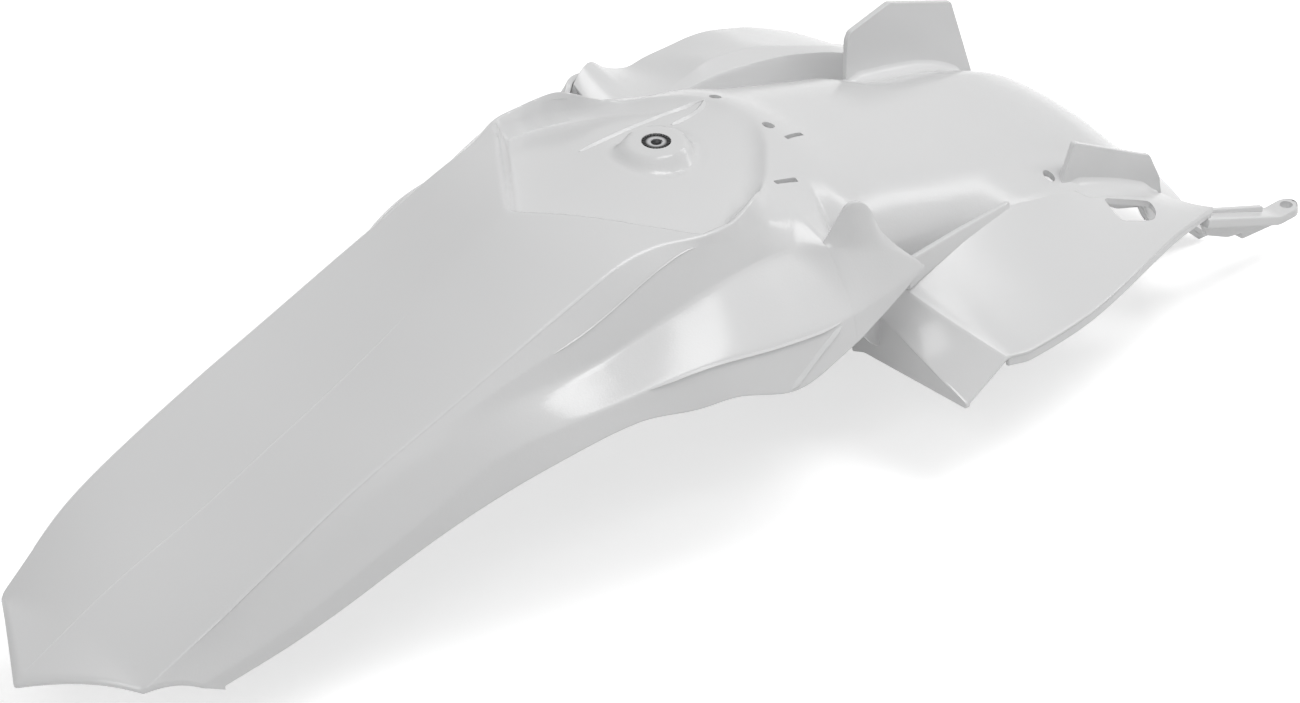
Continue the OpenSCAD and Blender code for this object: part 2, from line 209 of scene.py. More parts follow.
def curve(points, x):
    """Smooth curve through the points, read at x, with the slopes of the source's curve()."""
    p = np.array(points, dtype=float)
    x = np.clip(np.asarray(x, dtype=float), p[0, 0], p[-1, 0])
    last = len(p) - 1
    slope = np.array([(p[min(i + 1, last), 1] - p[max(i - 1, 0), 1])
                      / (p[min(i + 1, last), 0] - p[max(i - 1, 0), 0]) for i in range(len(p))])
    i = np.clip(np.searchsorted(p[:, 0], x, side="right") - 1, 0, last - 1)
    d = p[i + 1, 0] - p[i, 0]
    t = (x - p[i, 0]) / d
    return ((2 * t**3 - 3 * t**2 + 1) * p[i, 1] + (t**3 - 2 * t**2 + t) * slope[i] * d
            + (3 * t**2 - 2 * t**3) * p[i + 1, 1] + (t**3 - t**2) * slope[i + 1] * d)


def inside_recess(x, r):
    """How deep a point lies inside the seat recess's outline, negative outside it."""
    points = np.array(RECESS, dtype=float)
    depth = np.full(np.shape(x), 1e6)
    outside = np.zeros(np.shape(x), dtype=bool)
    for a, b in zip(points[:-1], points[1:]):
        ab = b - a
        t = np.clip(((x - a[0]) * ab[0] + (r - a[1]) * ab[1]) / (ab @ ab), 0, 1)
        depth = np.minimum(depth, np.hypot(x - a[0] - t * ab[0], r - a[1] - t * ab[1]))
        outside |= ab[0] * (r - a[1]) - ab[1] * (x - a[0]) > 0
    return np.where(outside, -depth, depth)


def arch(r):
    """Drop of the saddle's arch at the offset r."""
    share = np.minimum(np.abs(r) / (SADDLE_HALF + 0.2), 1)
    return ARCH_DROP * (1 - (1 - share**ARCH_POWER)**(1 / ARCH_POWER))


def arch_reach(drop):
    """Offset at which the arch has dropped this far."""
    share = np.clip(drop / ARCH_DROP, 0, 1)
    return SADDLE_HALF * (1 - (1 - share)**ARCH_POWER)**(1 / ARCH_POWER)


def plain_top(x, r):
    """Height of the top without its recess, boss and hollows."""
    tail = mix(curve(MID_Z, x), curve(SIDE_Z, x), (np.abs(r) / curve(SIDE_R, x))**1.5)
    return mix(tail, curve(MID_Z, x) - arch(r), ease((x - ARCH_START) / ARCH_BLEND))


def recess_floor(x, r):
    return mix(curve(FLOOR_Z, x), curve(FLOOR_SIDE_Z, x), (np.abs(r) / FLOOR_R)**1.6)


def tab_hollow(x, r):
    """Shallow hollow that runs out from the foot of the left tab."""
    return TAB_HOLLOW * stretch(-r, *TAB_HOLLOW_LEFT) * stretch(x, *TAB_HOLLOW_X)


def top_height(x, r):
    """Height of the top with its recess, the moat and the insert's boss."""
    start, length = (np.where(r < 0, left, right) for left, right in zip(LEFT_WIDENING, RIGHT_WIDENING))
    wide = mix(RECESS_STEP, RECESS_WALL, ease((x - start) / length))
    inside = inside_recess(x, np.abs(r)) / wide
    share = np.clip(inside, 0, 1)
    deep = mix(mix(share, ease(share), 0.4), 1 - (1 - share)**3, ease((x - STEEP_START) / STEEP_BLEND))
    plain = plain_top(x, r) - tab_hollow(x, r)
    z = mix(plain, np.minimum(recess_floor(x, r), plain), deep)
    off = np.hypot(x - BOLT_X, r)
    moat = z - MOAT_DEPTH * ease((BOSS_R + MOAT_REACH - off) / MOAT_SLOPE)
    flare = BOSS_FLARE + BOSS_TAIL_FLARE * ease((BOLT_X - 4 - x) / 14)
    return mix(moat, BOLT_Z, ease((BOSS_R + flare - off) / flare))


def led(x, lead):
    """The tail's end is a V in plan, so its first stations lead by this much."""
    return x + lead * (1 - np.clip(x / LEAD_END, 0, 1))**2


def top_points(x, t):
    """Points of the top at the station x, t from -1 at the left side ridge to 1 at the right one."""
    length = led(x, TIP_LEAD * np.abs(t))
    r = t * curve(SIDE_R, np.maximum(length, TIP_LEAD))
    return np.stack([length, -r, top_height(length, r)], axis=-1)


def along(keys, v):
    """Point at v, 0 to 1, along a run of four key points."""
    s = np.clip(v * 3, 0, 2.999)
    i = np.floor(s).astype(int)
    t = (s - i)[..., None]
    stack = np.stack(keys)
    a = np.take_along_axis(stack, i[None, ..., None], axis=0)[0]
    b = np.take_along_axis(stack, i[None, ..., None] + 1, axis=0)[0]
    return a + (b - a) * t


def pair(x, r, z):
    """Offset and height as one array, spread over the lengths x."""
    return np.stack([r + 0 * x, z + 0 * x], axis=-1)


def flank_points(x, v):
    """Points of the right flank at the station x, v from 0 at the side ridge to 1 at the lower edge."""
    length = led(x, TIP_LEAD + EDGE_LEAD * v)
    r = curve(SIDE_R, length)
    keys = [pair(length, r, plain_top(length, r)), pair(length, curve(WAIST_R, length), curve(WAIST_Z, length)),
            pair(length, curve(CREASE_R, length), curve(CREASE_Z, length)),
            pair(length, curve(EDGE_R, length), curve(EDGE_Z, length))]
    second = np.stack([curve(SECOND_OUT, length), curve(SECOND_UP, length)], axis=-1)
    p = along(keys, v) + second * np.maximum(0, 1 - np.abs(6 * v - 1))[..., None]
    return np.stack([length, -p[..., 0], p[..., 1]], axis=-1)


def saddle_wall_points(x, v):
    """Points of the saddle's right side, over the arch and then straight down."""
    low = curve(WALL_Z, x)
    r = mix(curve(SIDE_R, x), arch_reach(curve(MID_Z, x) - low), np.minimum(v * 2, 1))
    z = plain_top(x, r)
    return np.stack([x, -r, np.where(v <= 0.5, z, mix(z, np.minimum(z - 1, low), v * 2 - 1))], axis=-1)


def outer_points(x, v):
    """The flank as far as the shoulder, then the saddle's side wall."""
    flank = flank_points(np.minimum(x, SHOULDER_X), v)
    wall = saddle_wall_points(np.maximum(x, SHOULDER_END), v)
    t = np.clip((x - SHOULDER_X) / (SHOULDER_END - SHOULDER_X), 0, 1)[..., None]
    return flank + (wall - flank) * t


def ear_points(x, v, top):
    """Points of an ear with this top edge, v from 0 there to 1 at the lower edge."""
    waist = pair(x, curve(WAIST_R, x), np.minimum(curve(WAIST_Z, x), curve(top, x) - 1))
    keys = [pair(x, curve(EAR_R, x), curve(top, x)), waist, pair(x, curve(CREASE_R, x), curve(CREASE_Z, x)),
            pair(x, curve(EDGE_R, x), curve(EDGE_Z, x))]
    p = along(keys, v)
    # The first few millimetres lie inside the flank
    inwards = mix(1.1, -0.15, ease((x - EAR_START) / 6))
    return np.stack([x, inwards - p[..., 0], p[..., 1]], axis=-1)


def panel_points(x, t):
    """Points of the right panel, t from 0 at its inner edge to 1 at its outer one."""
    slanted = np.clip((PANEL_SQUARE_X - x) / (PANEL_SQUARE_X - PANEL_REAR_X), 0, 1)
    length = x + (PANEL_OUTER_REAR_X - PANEL_REAR_X) * t * slanted
    r = mix(curve(PANEL_IN_R, length), curve(PANEL_OUT_R, length), t)
    z = mix(curve(PANEL_IN_Z, length), curve(PANEL_OUT_Z, length), t) - PANEL_SAG * 4 * t * (1 - t)
    return np.stack([length, -r, z], axis=-1)


def soften(line, width):
    """Rounds the corners of a dense line over this width, one for all or one a point, and keeps its ends."""
    step = np.linalg.norm(np.diff(line, axis=0), axis=1)
    s = np.concatenate([[0], np.cumsum(step)])
    width = np.broadcast_to(np.asarray(width, dtype=float), s.shape)
    reach = float(width.max())
    first = line[0] + (line[0] - line[1]) / max(step[0], 1e-9) * reach
    last = line[-1] + (line[-1] - line[-2]) / max(step[-1], 1e-9) * reach
    path = np.vstack([first, line, last])
    s_path = np.concatenate([[-reach], s, [s[-1] + reach]])
    # Read the running total from a fine ruler, where it is close to straight between marks
    ruler = np.linspace(s_path[0], s_path[-1], 2400)
    fine = np.stack([np.interp(ruler, s_path, path[:, k]) for k in range(3)], axis=-1)
    total = np.vstack([np.zeros(3), np.cumsum((fine[1:] + fine[:-1]) / 2 * np.diff(ruler)[:, None], axis=0)])
    low = np.stack([np.interp(s - width / 2, ruler, total[:, k]) for k in range(3)], axis=-1)
    high = np.stack([np.interp(s + width / 2, ruler, total[:, k]) for k in range(3)], axis=-1)
    return (high - low) / width[:, None]


def blur(field, passes):
    """Evens out a grid of vectors over its neighbours."""
    for _ in range(passes):
        for axis in (0, 1):
            pad = [(1, 1) if k == axis else (0, 0) for k in range(field.ndim)]
            wide = np.pad(field, pad, mode="edge")
            low, mid, high = (np.take(wide, range(k, k + field.shape[axis]), axis=axis) for k in range(3))
            field = (low + 2 * mid + high) / 4
    return field


def upward(grid):
    """Unit normals of a grid of points."""
    sideways = np.gradient(grid, axis=1)
    ahead = np.gradient(grid, axis=0)
    return unit(np.cross(sideways, ahead))


def unit(v):
    return v / np.maximum(np.linalg.norm(v, axis=-1, keepdims=True), 1e-9)


class Shell:
    """Gathers closed walls, in millimetres from the tail tip, into one mesh."""

    def __init__(self):
        self.points = []
        self.faces = []
        self.count = 0

    def add(self, points, faces):
        self.points.append(points)
        self.faces.extend(tuple(int(i) + self.count for i in face) for face in faces)
        self.count += len(points)

    def wall(self, grid, even, thick=WALL, edge=RIM):
        """Closed wall under a grid whose rows run forward and columns to the right, with a rounded rim."""
        m, n = grid.shape[:2]
        normal = unit(blur(upward(grid), even))
        under = grid - thick * normal
        out = np.zeros_like(grid)
        out[0] += unit(grid[0] - grid[1])
        out[-1] += unit(grid[-1] - grid[-2])
        out[:, 0] += unit(grid[:, 0] - grid[:, 1])
        out[:, -1] += unit(grid[:, -1] - grid[:, -2])
        top = (grid - edge * out).reshape(-1, 3)
        low = (under - edge * out).reshape(-1, 3)
        loop = ([j for j in range(n)] + [i * n + n - 1 for i in range(1, m)]
                + [(m - 1) * n + j for j in range(n - 2, -1, -1)] + [i * n for i in range(m - 2, 0, -1)])
        up, down = grid.reshape(-1, 3)[loop], under.reshape(-1, 3)[loop]
        away, over = out.reshape(-1, 3)[loop], normal.reshape(-1, 3)[loop]
        rings = [up - 0.29 * edge * (away + over), up - edge * over, down + edge * over,
                 down - 0.29 * edge * (away - over)]
        size, k = m * n, len(loop)
        i, j = np.meshgrid(range(m - 1), range(n - 1), indexing="ij")
        a = (i * n + j).ravel()
        faces = list(zip(a, a + 1, a + n + 1, a + n))
        faces += list(zip(a + size, a + size + n, a + size + n + 1, a + size + 1))
        chain = [loop] + [list(range(2 * size + ring * k, 2 * size + (ring + 1) * k)) for ring in range(4)]
        chain.append([q + size for q in loop])
        for upper, lower in zip(chain[:-1], chain[1:]):
            faces += [(upper[q], lower[q], lower[(q + 1) % k], upper[(q + 1) % k]) for q in range(k)]
        self.add(np.vstack([top, low] + rings), faces)


def rows(*parts):
    """Stations from (start, end, count) stretches that follow on each other."""
    return np.concatenate([np.linspace(a, b, int(count), endpoint=False) for a, b, count in parts]
                          + [np.array([parts[-1][1]], dtype=float)])


def rounded(outline, radius):
    """The outline with each corner replaced by a short curve."""
    ring = np.array(outline, dtype=float)
    points = []
    for k, corner in enumerate(ring):
        before, after = ring[k - 1] - corner, ring[(k + 1) % len(ring)] - corner
        a = corner + before * min(radius / np.linalg.norm(before), 0.45)
        b = corner + after * min(radius / np.linalg.norm(after), 0.45)
        for t in (0, 0.25, 0.5, 0.75, 1):
            points.append((1 - t)**2 * a + 2 * t * (1 - t) * corner + t * t * b)
    return np.array(points)


def slab(shell, outline, place, thick=WALL):
    """Upright plate with rounded edges, its outline in [length, height] at the offset place."""
    flat = rounded(outline, SLAB_CORNER)
    bm = bmesh.new()
    ring = [bm.verts.new((x, place - thick / 2, z)) for x, z in flat]
    face = bm.faces.new(ring)
    lifted = bmesh.ops.extrude_face_region(bm, geom=[face])["geom"]
    bmesh.ops.translate(bm, vec=(0, thick, 0), verts=[v for v in lifted if isinstance(v, bmesh.types.BMVert)])
    bmesh.ops.recalc_face_normals(bm, faces=bm.faces)
    sharp = [e for e in bm.edges if len(e.link_faces) == 2 and e.calc_face_angle() > 0.9]
    bmesh.ops.bevel(bm, geom=sharp, offset=RIM, segments=2, profile=0.5, affect="EDGES", clamp_overlap=True)
    bm.verts.index_update()
    shell.add(np.array([v.co[:] for v in bm.verts]), [[v.index for v in f.verts] for f in bm.faces])
    bm.free()


def closed(shell, loops):
    """Solid through a row of closed sections, its faces turned outwards."""
    m, k = loops.shape[:2]
    quads = [(a * k + b, a * k + (b + 1) % k, (a + 1) * k + (b + 1) % k, (a + 1) * k + b)
             for a in range(m - 1) for b in range(k)]
    caps = [tuple(range(k))[::-1], tuple((m - 1) * k + b for b in range(k))]
    points = loops.reshape(-1, 3)
    centre = points.mean(axis=0)
    size = 0.0
    for face in quads + caps:
        corners = points[list(face)] - centre
        size += sum(np.dot(corners[0], np.cross(corners[b], corners[b + 1])) for b in range(1, len(face) - 1))
    shell.add(points, [face if size > 0 else face[::-1] for face in quads + caps])


def bead(shell, path, radius):
    """Fine raised crease along a path, a low wedge that runs out to nothing at its ends."""
    path = np.asarray(path, dtype=float)
    ahead = unit(np.gradient(path, axis=0))
    side = unit(np.cross(ahead, [0, 0, 1]))
    over = np.cross(side, ahead)
    share = np.linspace(0, 1, len(path))
    thick = radius * np.sqrt(np.clip(np.minimum(share, 1 - share) / 0.12, 0.02, 1))
    section = [(1.25, -0.25), (0.15, 0.58), (0.0, 0.64), (-0.15, 0.6), (-1.0, -0.25), (-0.9, -0.8), (0.9, -0.8)]
    closed(shell, np.stack([path + (side * a + over * b) * thick[:, None] for a, b in section], axis=1))


def foot_fillet(shell, x, face, away, height, reach, rise):
    """Hollow fillet from an upright face, at the offset to the left, down to the surface beside it."""
    loops = []
    for q in x:
        fade = min(1.0, 0.25 + 0.75 * float(ease(min(q - x[0], x[-1] - q) / 12)))
        root, land = face, face + away * reach * fade
        foot, far = height(q, root), height(q, land)
        t = np.linspace(0, 1, 11)[:, None]
        high = np.array([q, root - away * 0.3, foot + rise * fade])
        corner = np.array([q, root, foot])
        low = np.array([q, land, far + 0.1])
        arc = (1 - t)**2 * high + 2 * t * (1 - t) * corner + t * t * low
        loops.append(np.vstack([arc, [[q, land, far - 1.2], [q, root - away * 1.2, foot - 1.5]]]))
    closed(shell, np.array(loops))


def to_object(name, shell):
    """Mesh object in metres in the row frame, from a gathered shell."""
    points = (np.vstack(shell.points) - BOLT) / 1000
    mesh = bpy.data.meshes.new(name)
    mesh.from_pydata(points.tolist(), [], shell.faces)
    mesh.validate()
    piece = bpy.data.objects.new(name, mesh)
    bpy.context.scene.collection.objects.link(piece)
    return piece


def drill(piece, cutters):
    """Cuts the cutters out of a piece and keeps the result as a plain mesh."""
    for cutter in cutters:
        cut = piece.modifiers.new("opening", "BOOLEAN")
        cut.operation, cut.solver, cut.object = "DIFFERENCE", "EXACT", cutter
    settle(piece)
    for cutter in cutters:
        bpy.data.objects.remove(cutter)


def settle(piece):
    """Turns what a piece's modifiers make into its plain mesh."""
    scene_state = bpy.context.evaluated_depsgraph_get()
    scene_state.update()
    finished = bpy.data.meshes.new_from_object(piece.evaluated_get(scene_state))
    piece.modifiers.clear()
    piece.data = finished


def prism(name, outline, low, high):
    """Cutter with a flat outline in [length, offset to the left], between two heights."""
    shell = Shell()
    ring = np.array(outline, dtype=float)
    area = sum(a[0] * b[1] - b[0] * a[1] for a, b in zip(ring, np.roll(ring, -1, axis=0)))
    if area < 0:
        ring = ring[::-1]
    n = len(ring)
    lower = np.column_stack([ring, np.full(n, low)])
    upper = np.column_stack([ring, np.full(n, high)])
    faces = [list(range(n))[::-1], list(range(n, 2 * n))]
    faces += [(k, (k + 1) % n, (k + 1) % n + n, k + n) for k in range(n)]
    shell.add(np.vstack([lower, upper]), faces)
    return to_object(name, shell)


def disc(x, y, radius, count=40):
    """Round outline for a cutter."""
    turn = np.linspace(0, 2 * math.pi, count, endpoint=False)
    return np.column_stack([x + radius * np.cos(turn), y + radius * np.sin(turn)])


# The moulded shell: skin, ears, wing, panel, web, arm and tabs.
# Marks across the skin lie closer at each ridge and bend, and its stations closer beside the recess.
TOP = np.concatenate([np.linspace(0, 0.93, 36), [0.95, 0.967, 0.98, 0.99, 1.0]])
BEND = np.array([0, 0.015, 0.04, 0.1, 0.2, 0.32, 0.42, 0.47, 0.5, 0.53, 0.58, 0.68, 0.8, 0.9, 0.96, 1.0])
PLAIN_BEND = np.array([0, 0.06, 0.16, 0.32, 0.5, 0.68, 0.84, 0.94, 1.0])
FLANK = np.concatenate([(k + marks[1:]) / 3 for k, marks in enumerate((BEND, PLAIN_BEND, PLAIN_BEND))])
STATIONS = rows((0, 6, 4), (6, 290, 50), (290, 470, 98), (470, BODY_LEN - 4, 52), (BODY_LEN - 4, BODY_LEN, 3))
# Widths over which the flank is softened, at these marks down it; its hollow turns crisp from CRISP_START forward
WIDTH_V = [0, 0.08, 0.15, 0.19, 0.25, 0.333, 0.45, 0.6, 1]
SOFT_HOLLOW = 9.0
CRISP_HOLLOW = 2.6
CRISP_START = 255.0
CRISP_BLEND = 50.0


def beside_panel(line, wall_v, x):
    """Right side only: the saddle runs straight into the panel, and its wall ends just under it."""
    r, z = -line[:, 1], line[:, 2]
    inner = float(curve(PANEL_IN_Z, x))
    heights = [float(plain_top(x, SADDLE_JOIN_R)), inner + 1.2, inner - 3.5]
    target = np.interp(r, [SADDLE_JOIN_R, 73, 79], heights) - 5 * wall_v
    filled = mix(z, np.maximum(z, target), float(stretch(x, *SADDLE_JOIN_X)))
    return np.stack([line[:, 0], line[:, 1], np.where(r > SADDLE_JOIN_R, filled, z)], axis=-1)


def skin_grid():
    """Grid of the fender's outside, rows from the tail forward and columns from left to right."""
    dense_t = np.linspace(-1, 1, 321)
    dense_v = np.linspace(0, 1, 151)[1:]
    marks_t = np.concatenate([-TOP[:0:-1], TOP])
    marks = np.concatenate([-1 - FLANK[::-1], marks_t, 1 + FLANK])
    place = np.concatenate([-1 - dense_v[::-1], dense_t, 1 + dense_v])
    grid = []
    for x in STATIONS:
        top = top_points(np.full(dense_t.shape, x), dense_t)
        right = outer_points(np.full(dense_v.shape, x), dense_v)
        left = right[::-1] * [1, -1, 1]
        # Crisp ridges, a soft hollow along the flank behind the seat, and a crisp one beside it
        hollow = mix(SOFT_HOLLOW, CRISP_HOLLOW, float(ease((x - CRISP_START) / CRISP_BLEND)))
        flank_width = np.interp(dense_v, WIDTH_V, [2.6, 1.8, 1.5, 1.6, hollow, hollow, hollow, 3, 2.2])
        widths = np.concatenate([flank_width[::-1], 1.6 + np.clip(np.abs(dense_t) * 20 - 19, 0, 1), flank_width])
        wall_v = np.concatenate([np.zeros(len(left) + len(top)), np.clip(dense_v * 2 - 1, 0, 1)])
        line = soften(beside_panel(np.vstack([left, top, right]), wall_v, x), widths)
        grid.append(np.stack([np.interp(marks, place, line[:, k]) for k in range(3)], axis=-1))
    grid = np.array(grid)
    # The free end of the tail turns down in a thin lip
    grid[..., 2] -= LIP_DROP * np.clip(1 - STATIONS / LIP_LEN, 0, 1)[:, None]**2
    grid[..., 2] = np.minimum(grid[..., 2], TOP_LIMIT)
    return grid


def build_skin():
    shell = Shell()
    shell.wall(skin_grid(), even=8, edge=0.8)
    return shell


def across(points, width, marks):
    """A softened dense line, read at marks from 0 to 1 of its own parameter."""
    line = soften(points, width)
    place = np.linspace(0, 1, len(line))
    return np.stack([np.interp(marks, place, line[:, k]) for k in range(3)], axis=-1)


def add_ears(shell):
    for top, side in ((EAR_Z, 1), (LEFT_EAR_Z, -1)):
        v = np.linspace(0, 1, 91)
        grid = np.array([across(ear_points(np.full(v.shape, x), v, top), 3.0, np.linspace(0, 1, 28))
                         for x in rows((EAR_START, EAR_END, 36))])
        if side < 0:
            grid = (grid * [1, -1, 1])[:, ::-1]
        shell.wall(grid, even=3)


def add_wing(shell):
    """Raised wing along the left side: outer wall, top and inner wall."""
    wing = []
    for x in rows((WING_START, WING_END, 64)):
        r, z, mid_r, mid_z, edge_r, edge_z = (float(curve(key, x)) for key in (
            WING_TOP_R, WING_TOP_Z, WING_CREASE_R, WING_CREASE_Z, WING_EDGE_R, WING_EDGE_Z))
        foot_z = min(edge_z - 6, float(curve(MID_Z, x) - arch(edge_r - 3)) - 5)
        keys = np.array([[x, r + 3, z - 22], [x, r + 1, z - 3], [x, r, z], [x, mid_r, mid_z],
                         [x, edge_r, edge_z], [x, edge_r - 3, foot_z]])
        line = np.vstack([keys[k] + (keys[k + 1] - keys[k]) * np.linspace(0, 1, 16, endpoint=False)[:, None]
                          for k in range(5)] + [keys[-1:]])
        wing.append(across(line, 1.4, np.linspace(0, 1, 61)))
    shell.wall(np.array(wing), even=4)


def add_panel(shell):
    """Right panel with the rounded fold of its flap."""
    flap_marks = np.linspace(0, 1, 60, endpoint=False)
    read = np.concatenate([np.linspace(0, 0.84, 12), np.linspace(0.88, 1.04, 9), np.linspace(1.055, 2, 74)])
    foot_a, foot_b = (np.array([p[0], -p[1], p[2]]) for p in FLAP_FOOT)
    stations = np.linspace(PANEL_REAR_X, PANEL_FRONT_X, 241)
    place = np.concatenate([flap_marks, 1 + np.linspace(0, 1, len(stations))])
    columns = []
    for t in np.linspace(0, 1, 40):
        foot = foot_a + (foot_b - foot_a) * t
        panel = panel_points(stations, np.full(stations.shape, t))
        flap = foot + (panel[0] - foot) * flap_marks[:, None]
        line = soften(np.vstack([flap, panel]), 5.0)
        columns.append(np.stack([np.interp(read, place, line[:, k]) for k in range(3)], axis=-1))
    shell.wall(np.array(columns).transpose(1, 0, 2), even=3)


def build_plates():
    shell = Shell()
    add_ears(shell)
    add_wing(shell)
    add_panel(shell)
    return shell


def build_trim():
    """The panel's rim, the free lip along its inner edge and the web across its rear end."""
    shell = Shell()
    border = panel_points(np.linspace(PANEL_REAR_X, PANEL_FRONT_X, 80), np.ones(80))
    shell.wall(np.stack([border + [0, 1.5, -0.5], border + [0, 0.6, -1.6], border + [0, 0, -RIM_H]], axis=1),
               even=1)
    lip = np.array([[p[0], -p[1], p[2]] for p in LIP_TOP])
    x = np.linspace(lip[0, 0], lip[-1, 0], 40)
    top = np.stack([x, np.interp(x, lip[:, 0], lip[:, 1]), np.interp(x, lip[:, 0], lip[:, 2])], axis=-1)
    foot = np.stack([x, top[:, 1] - 1, curve(PANEL_IN_Z, x) - 2], axis=-1)
    shell.wall(np.stack([top + (foot - top) * t for t in np.linspace(0, 1, 8)], axis=1), even=1)
    web = Shell()
    slab(web, REAR_WEB, 0)
    points = web.points[0]
    turned = np.stack([REAR_WEB_X + points[:, 1], -points[:, 0], points[:, 2]], axis=-1)
    shell.add(turned, [f[::-1] for f in web.faces])
    return shell


def build_tabs():
    """The two upright tabs, with a hollow fillet at each side of either foot."""
    shell = Shell()
    slab(shell, RIGHT_TAB, RIGHT_TAB_Y)
    slab(shell, LEFT_TAB, LEFT_TAB_Y)

    def saddle(x, y):
        return float(top_height(np.array(x), np.array(-y)))

    def panel(x, y):
        inner, outer = float(curve(PANEL_IN_R, x)), float(curve(PANEL_OUT_R, x))
        t = min(max((-y - inner) / (outer - inner), 0), 1)
        return float(panel_points(np.array(x), np.array(t))[2])

    left, right = np.linspace(*LEFT_FOOT, 46), np.linspace(*RIGHT_FOOT, 36)
    foot_fillet(shell, left, LEFT_TAB_Y - WALL / 2, -1, saddle, 11, 9)
    foot_fillet(shell, left, LEFT_TAB_Y + WALL / 2, 1, saddle, 7, 6)
    foot_fillet(shell, right, RIGHT_TAB_Y - WALL / 2, -1, panel, 9, 6)
    foot_fillet(shell, right, RIGHT_TAB_Y + WALL / 2, 1, saddle, 6, 5)
    return shell


def build_creases():
    """Fine raised lines: in the recess floor, along the ridges, and on the flange."""
    shell = Shell()
    for marks in FLOOR_CREASES:
        key = np.array(marks, dtype=float)
        x = np.linspace(key[0, 0], key[-1, 0], 60)
        y = curve(marks, x)
        bead(shell, np.stack([x, y, top_height(x, -y) + 0.25], axis=-1), 1.5)
    # Along the tail's middle ridge
    x = np.linspace(6, 238, 120)
    bead(shell, np.stack([x, 0 * x, top_height(x, 0 * x)], axis=-1), 0.55)
    # Along the side ridges and the second crease under them
    for side in (1, -1):
        for v, start, end, lift in ((0.0, 40, 322, -0.35), (1 / 6, 268, 352, -0.2)):
            x = np.linspace(start, end, 150)
            line = flank_points(x, np.full(x.shape, v)) * [1, side, 1] + [0, 0, lift]
            bead(shell, line, 0.5)
        # Along the flange's upper edge, and the broader strip across its front end
        x = np.linspace(300, 404, 80)
        bead(shell, flank_points(x, np.full(x.shape, 0.672)) * [1, side, 1], 0.9)
        v = np.linspace(0.7, 0.985, 40)
        bead(shell, flank_points(np.linspace(405, 368, 40), v) * [1, side, 1] + [0, side * 0.8, 0], 2.0)
    return shell


def build_arm():
    """The front arm with its stiffener and its lower finger."""
    shell = Shell()
    root, tip = np.array(ARM_ROOT, dtype=float), np.array(ARM_TIP, dtype=float)
    round_end = tip[0] + ARM_W / 2 * np.sin(np.linspace(0.12, 1.5, 12))
    x = np.concatenate([np.linspace(root[0] - 1, tip[0], 30), round_end])
    half = np.where(x <= tip[0], ARM_W / 2, np.sqrt(np.maximum((ARM_W / 2)**2 - (x - tip[0])**2, 0.3)))
    share = np.clip((x - root[0]) / (tip[0] - 10 - root[0]), 0, 1)
    y, z = root[1] + (tip[1] - root[1]) * share, root[2] + (tip[2] - root[2]) * share + ARM_T / 2
    grid = np.stack([np.stack([x, y - half * s, z], axis=-1) for s in np.linspace(-1, 1, 13)], axis=1)
    shell.wall(grid, even=2, thick=ARM_T, edge=1.0)
    slab(shell, ARM_STIFFENER, ARM_STIFFENER_Y)
    slab(shell, ARM_FINGER, ARM_FINGER_Y, thick=ARM_FINGER_T)
    return shell


class Wire:
    """A shader socket that takes part in Python arithmetic."""

    def __init__(self, shade, socket):
        self.shade, self.socket = shade, socket

    def math(self, operation, *values):
        return self.shade.node("ShaderNodeMath", {"operation": operation}, dict(enumerate(values)))

    def __add__(self, other):
        return self.math("ADD", self, other)

    def __radd__(self, other):
        return self.math("ADD", other, self)

    def __mul__(self, other):
        return self.math("MULTIPLY", self, other)


class Nodes:
    """A node tree, filled through one method for any node."""

    def __init__(self, tree):
        self.tree = tree
        self.tree.nodes.clear()

    def node(self, kind, settings, sockets, out=0):
        made = self.tree.nodes.new(kind)
        for key, value in settings.items():
            setattr(made, key, value)
        for key, value in sockets.items():
            self.put(made.inputs[key], value)
        return Wire(self, made.outputs[out])

    def put(self, socket, value):
        if isinstance(value, Wire):
            self.tree.links.new(value.socket, socket)
        else:
            socket.default_value = value

    def direct_rays(self):
        """One for rays from the camera, a mirror or glass, nought for the rays that carry light."""
        parts = [self.node("ShaderNodeLightPath", {}, {}, out="Is %s Ray" % kind)
                 for kind in ("Camera", "Glossy", "Transmission")]
        return parts[0] + parts[1] + parts[2]


class Shade(Nodes):
    """One material with its principled shader and output."""

    def __init__(self, name):
        self.material = bpy.data.materials.new(name)
        self.material.use_nodes = True
        super().__init__(self.material.node_tree)
        self.surface = self.tree.nodes.new("ShaderNodeBsdfPrincipled")
        self.output = self.tree.nodes.new("ShaderNodeOutputMaterial")
        self.tree.links.new(self.surface.outputs[0], self.output.inputs[0])

    def finish(self, **sockets):
        for key, value in sockets.items():
            self.put(self.surface.inputs[key.replace("_", " ")], value)
        return self.material


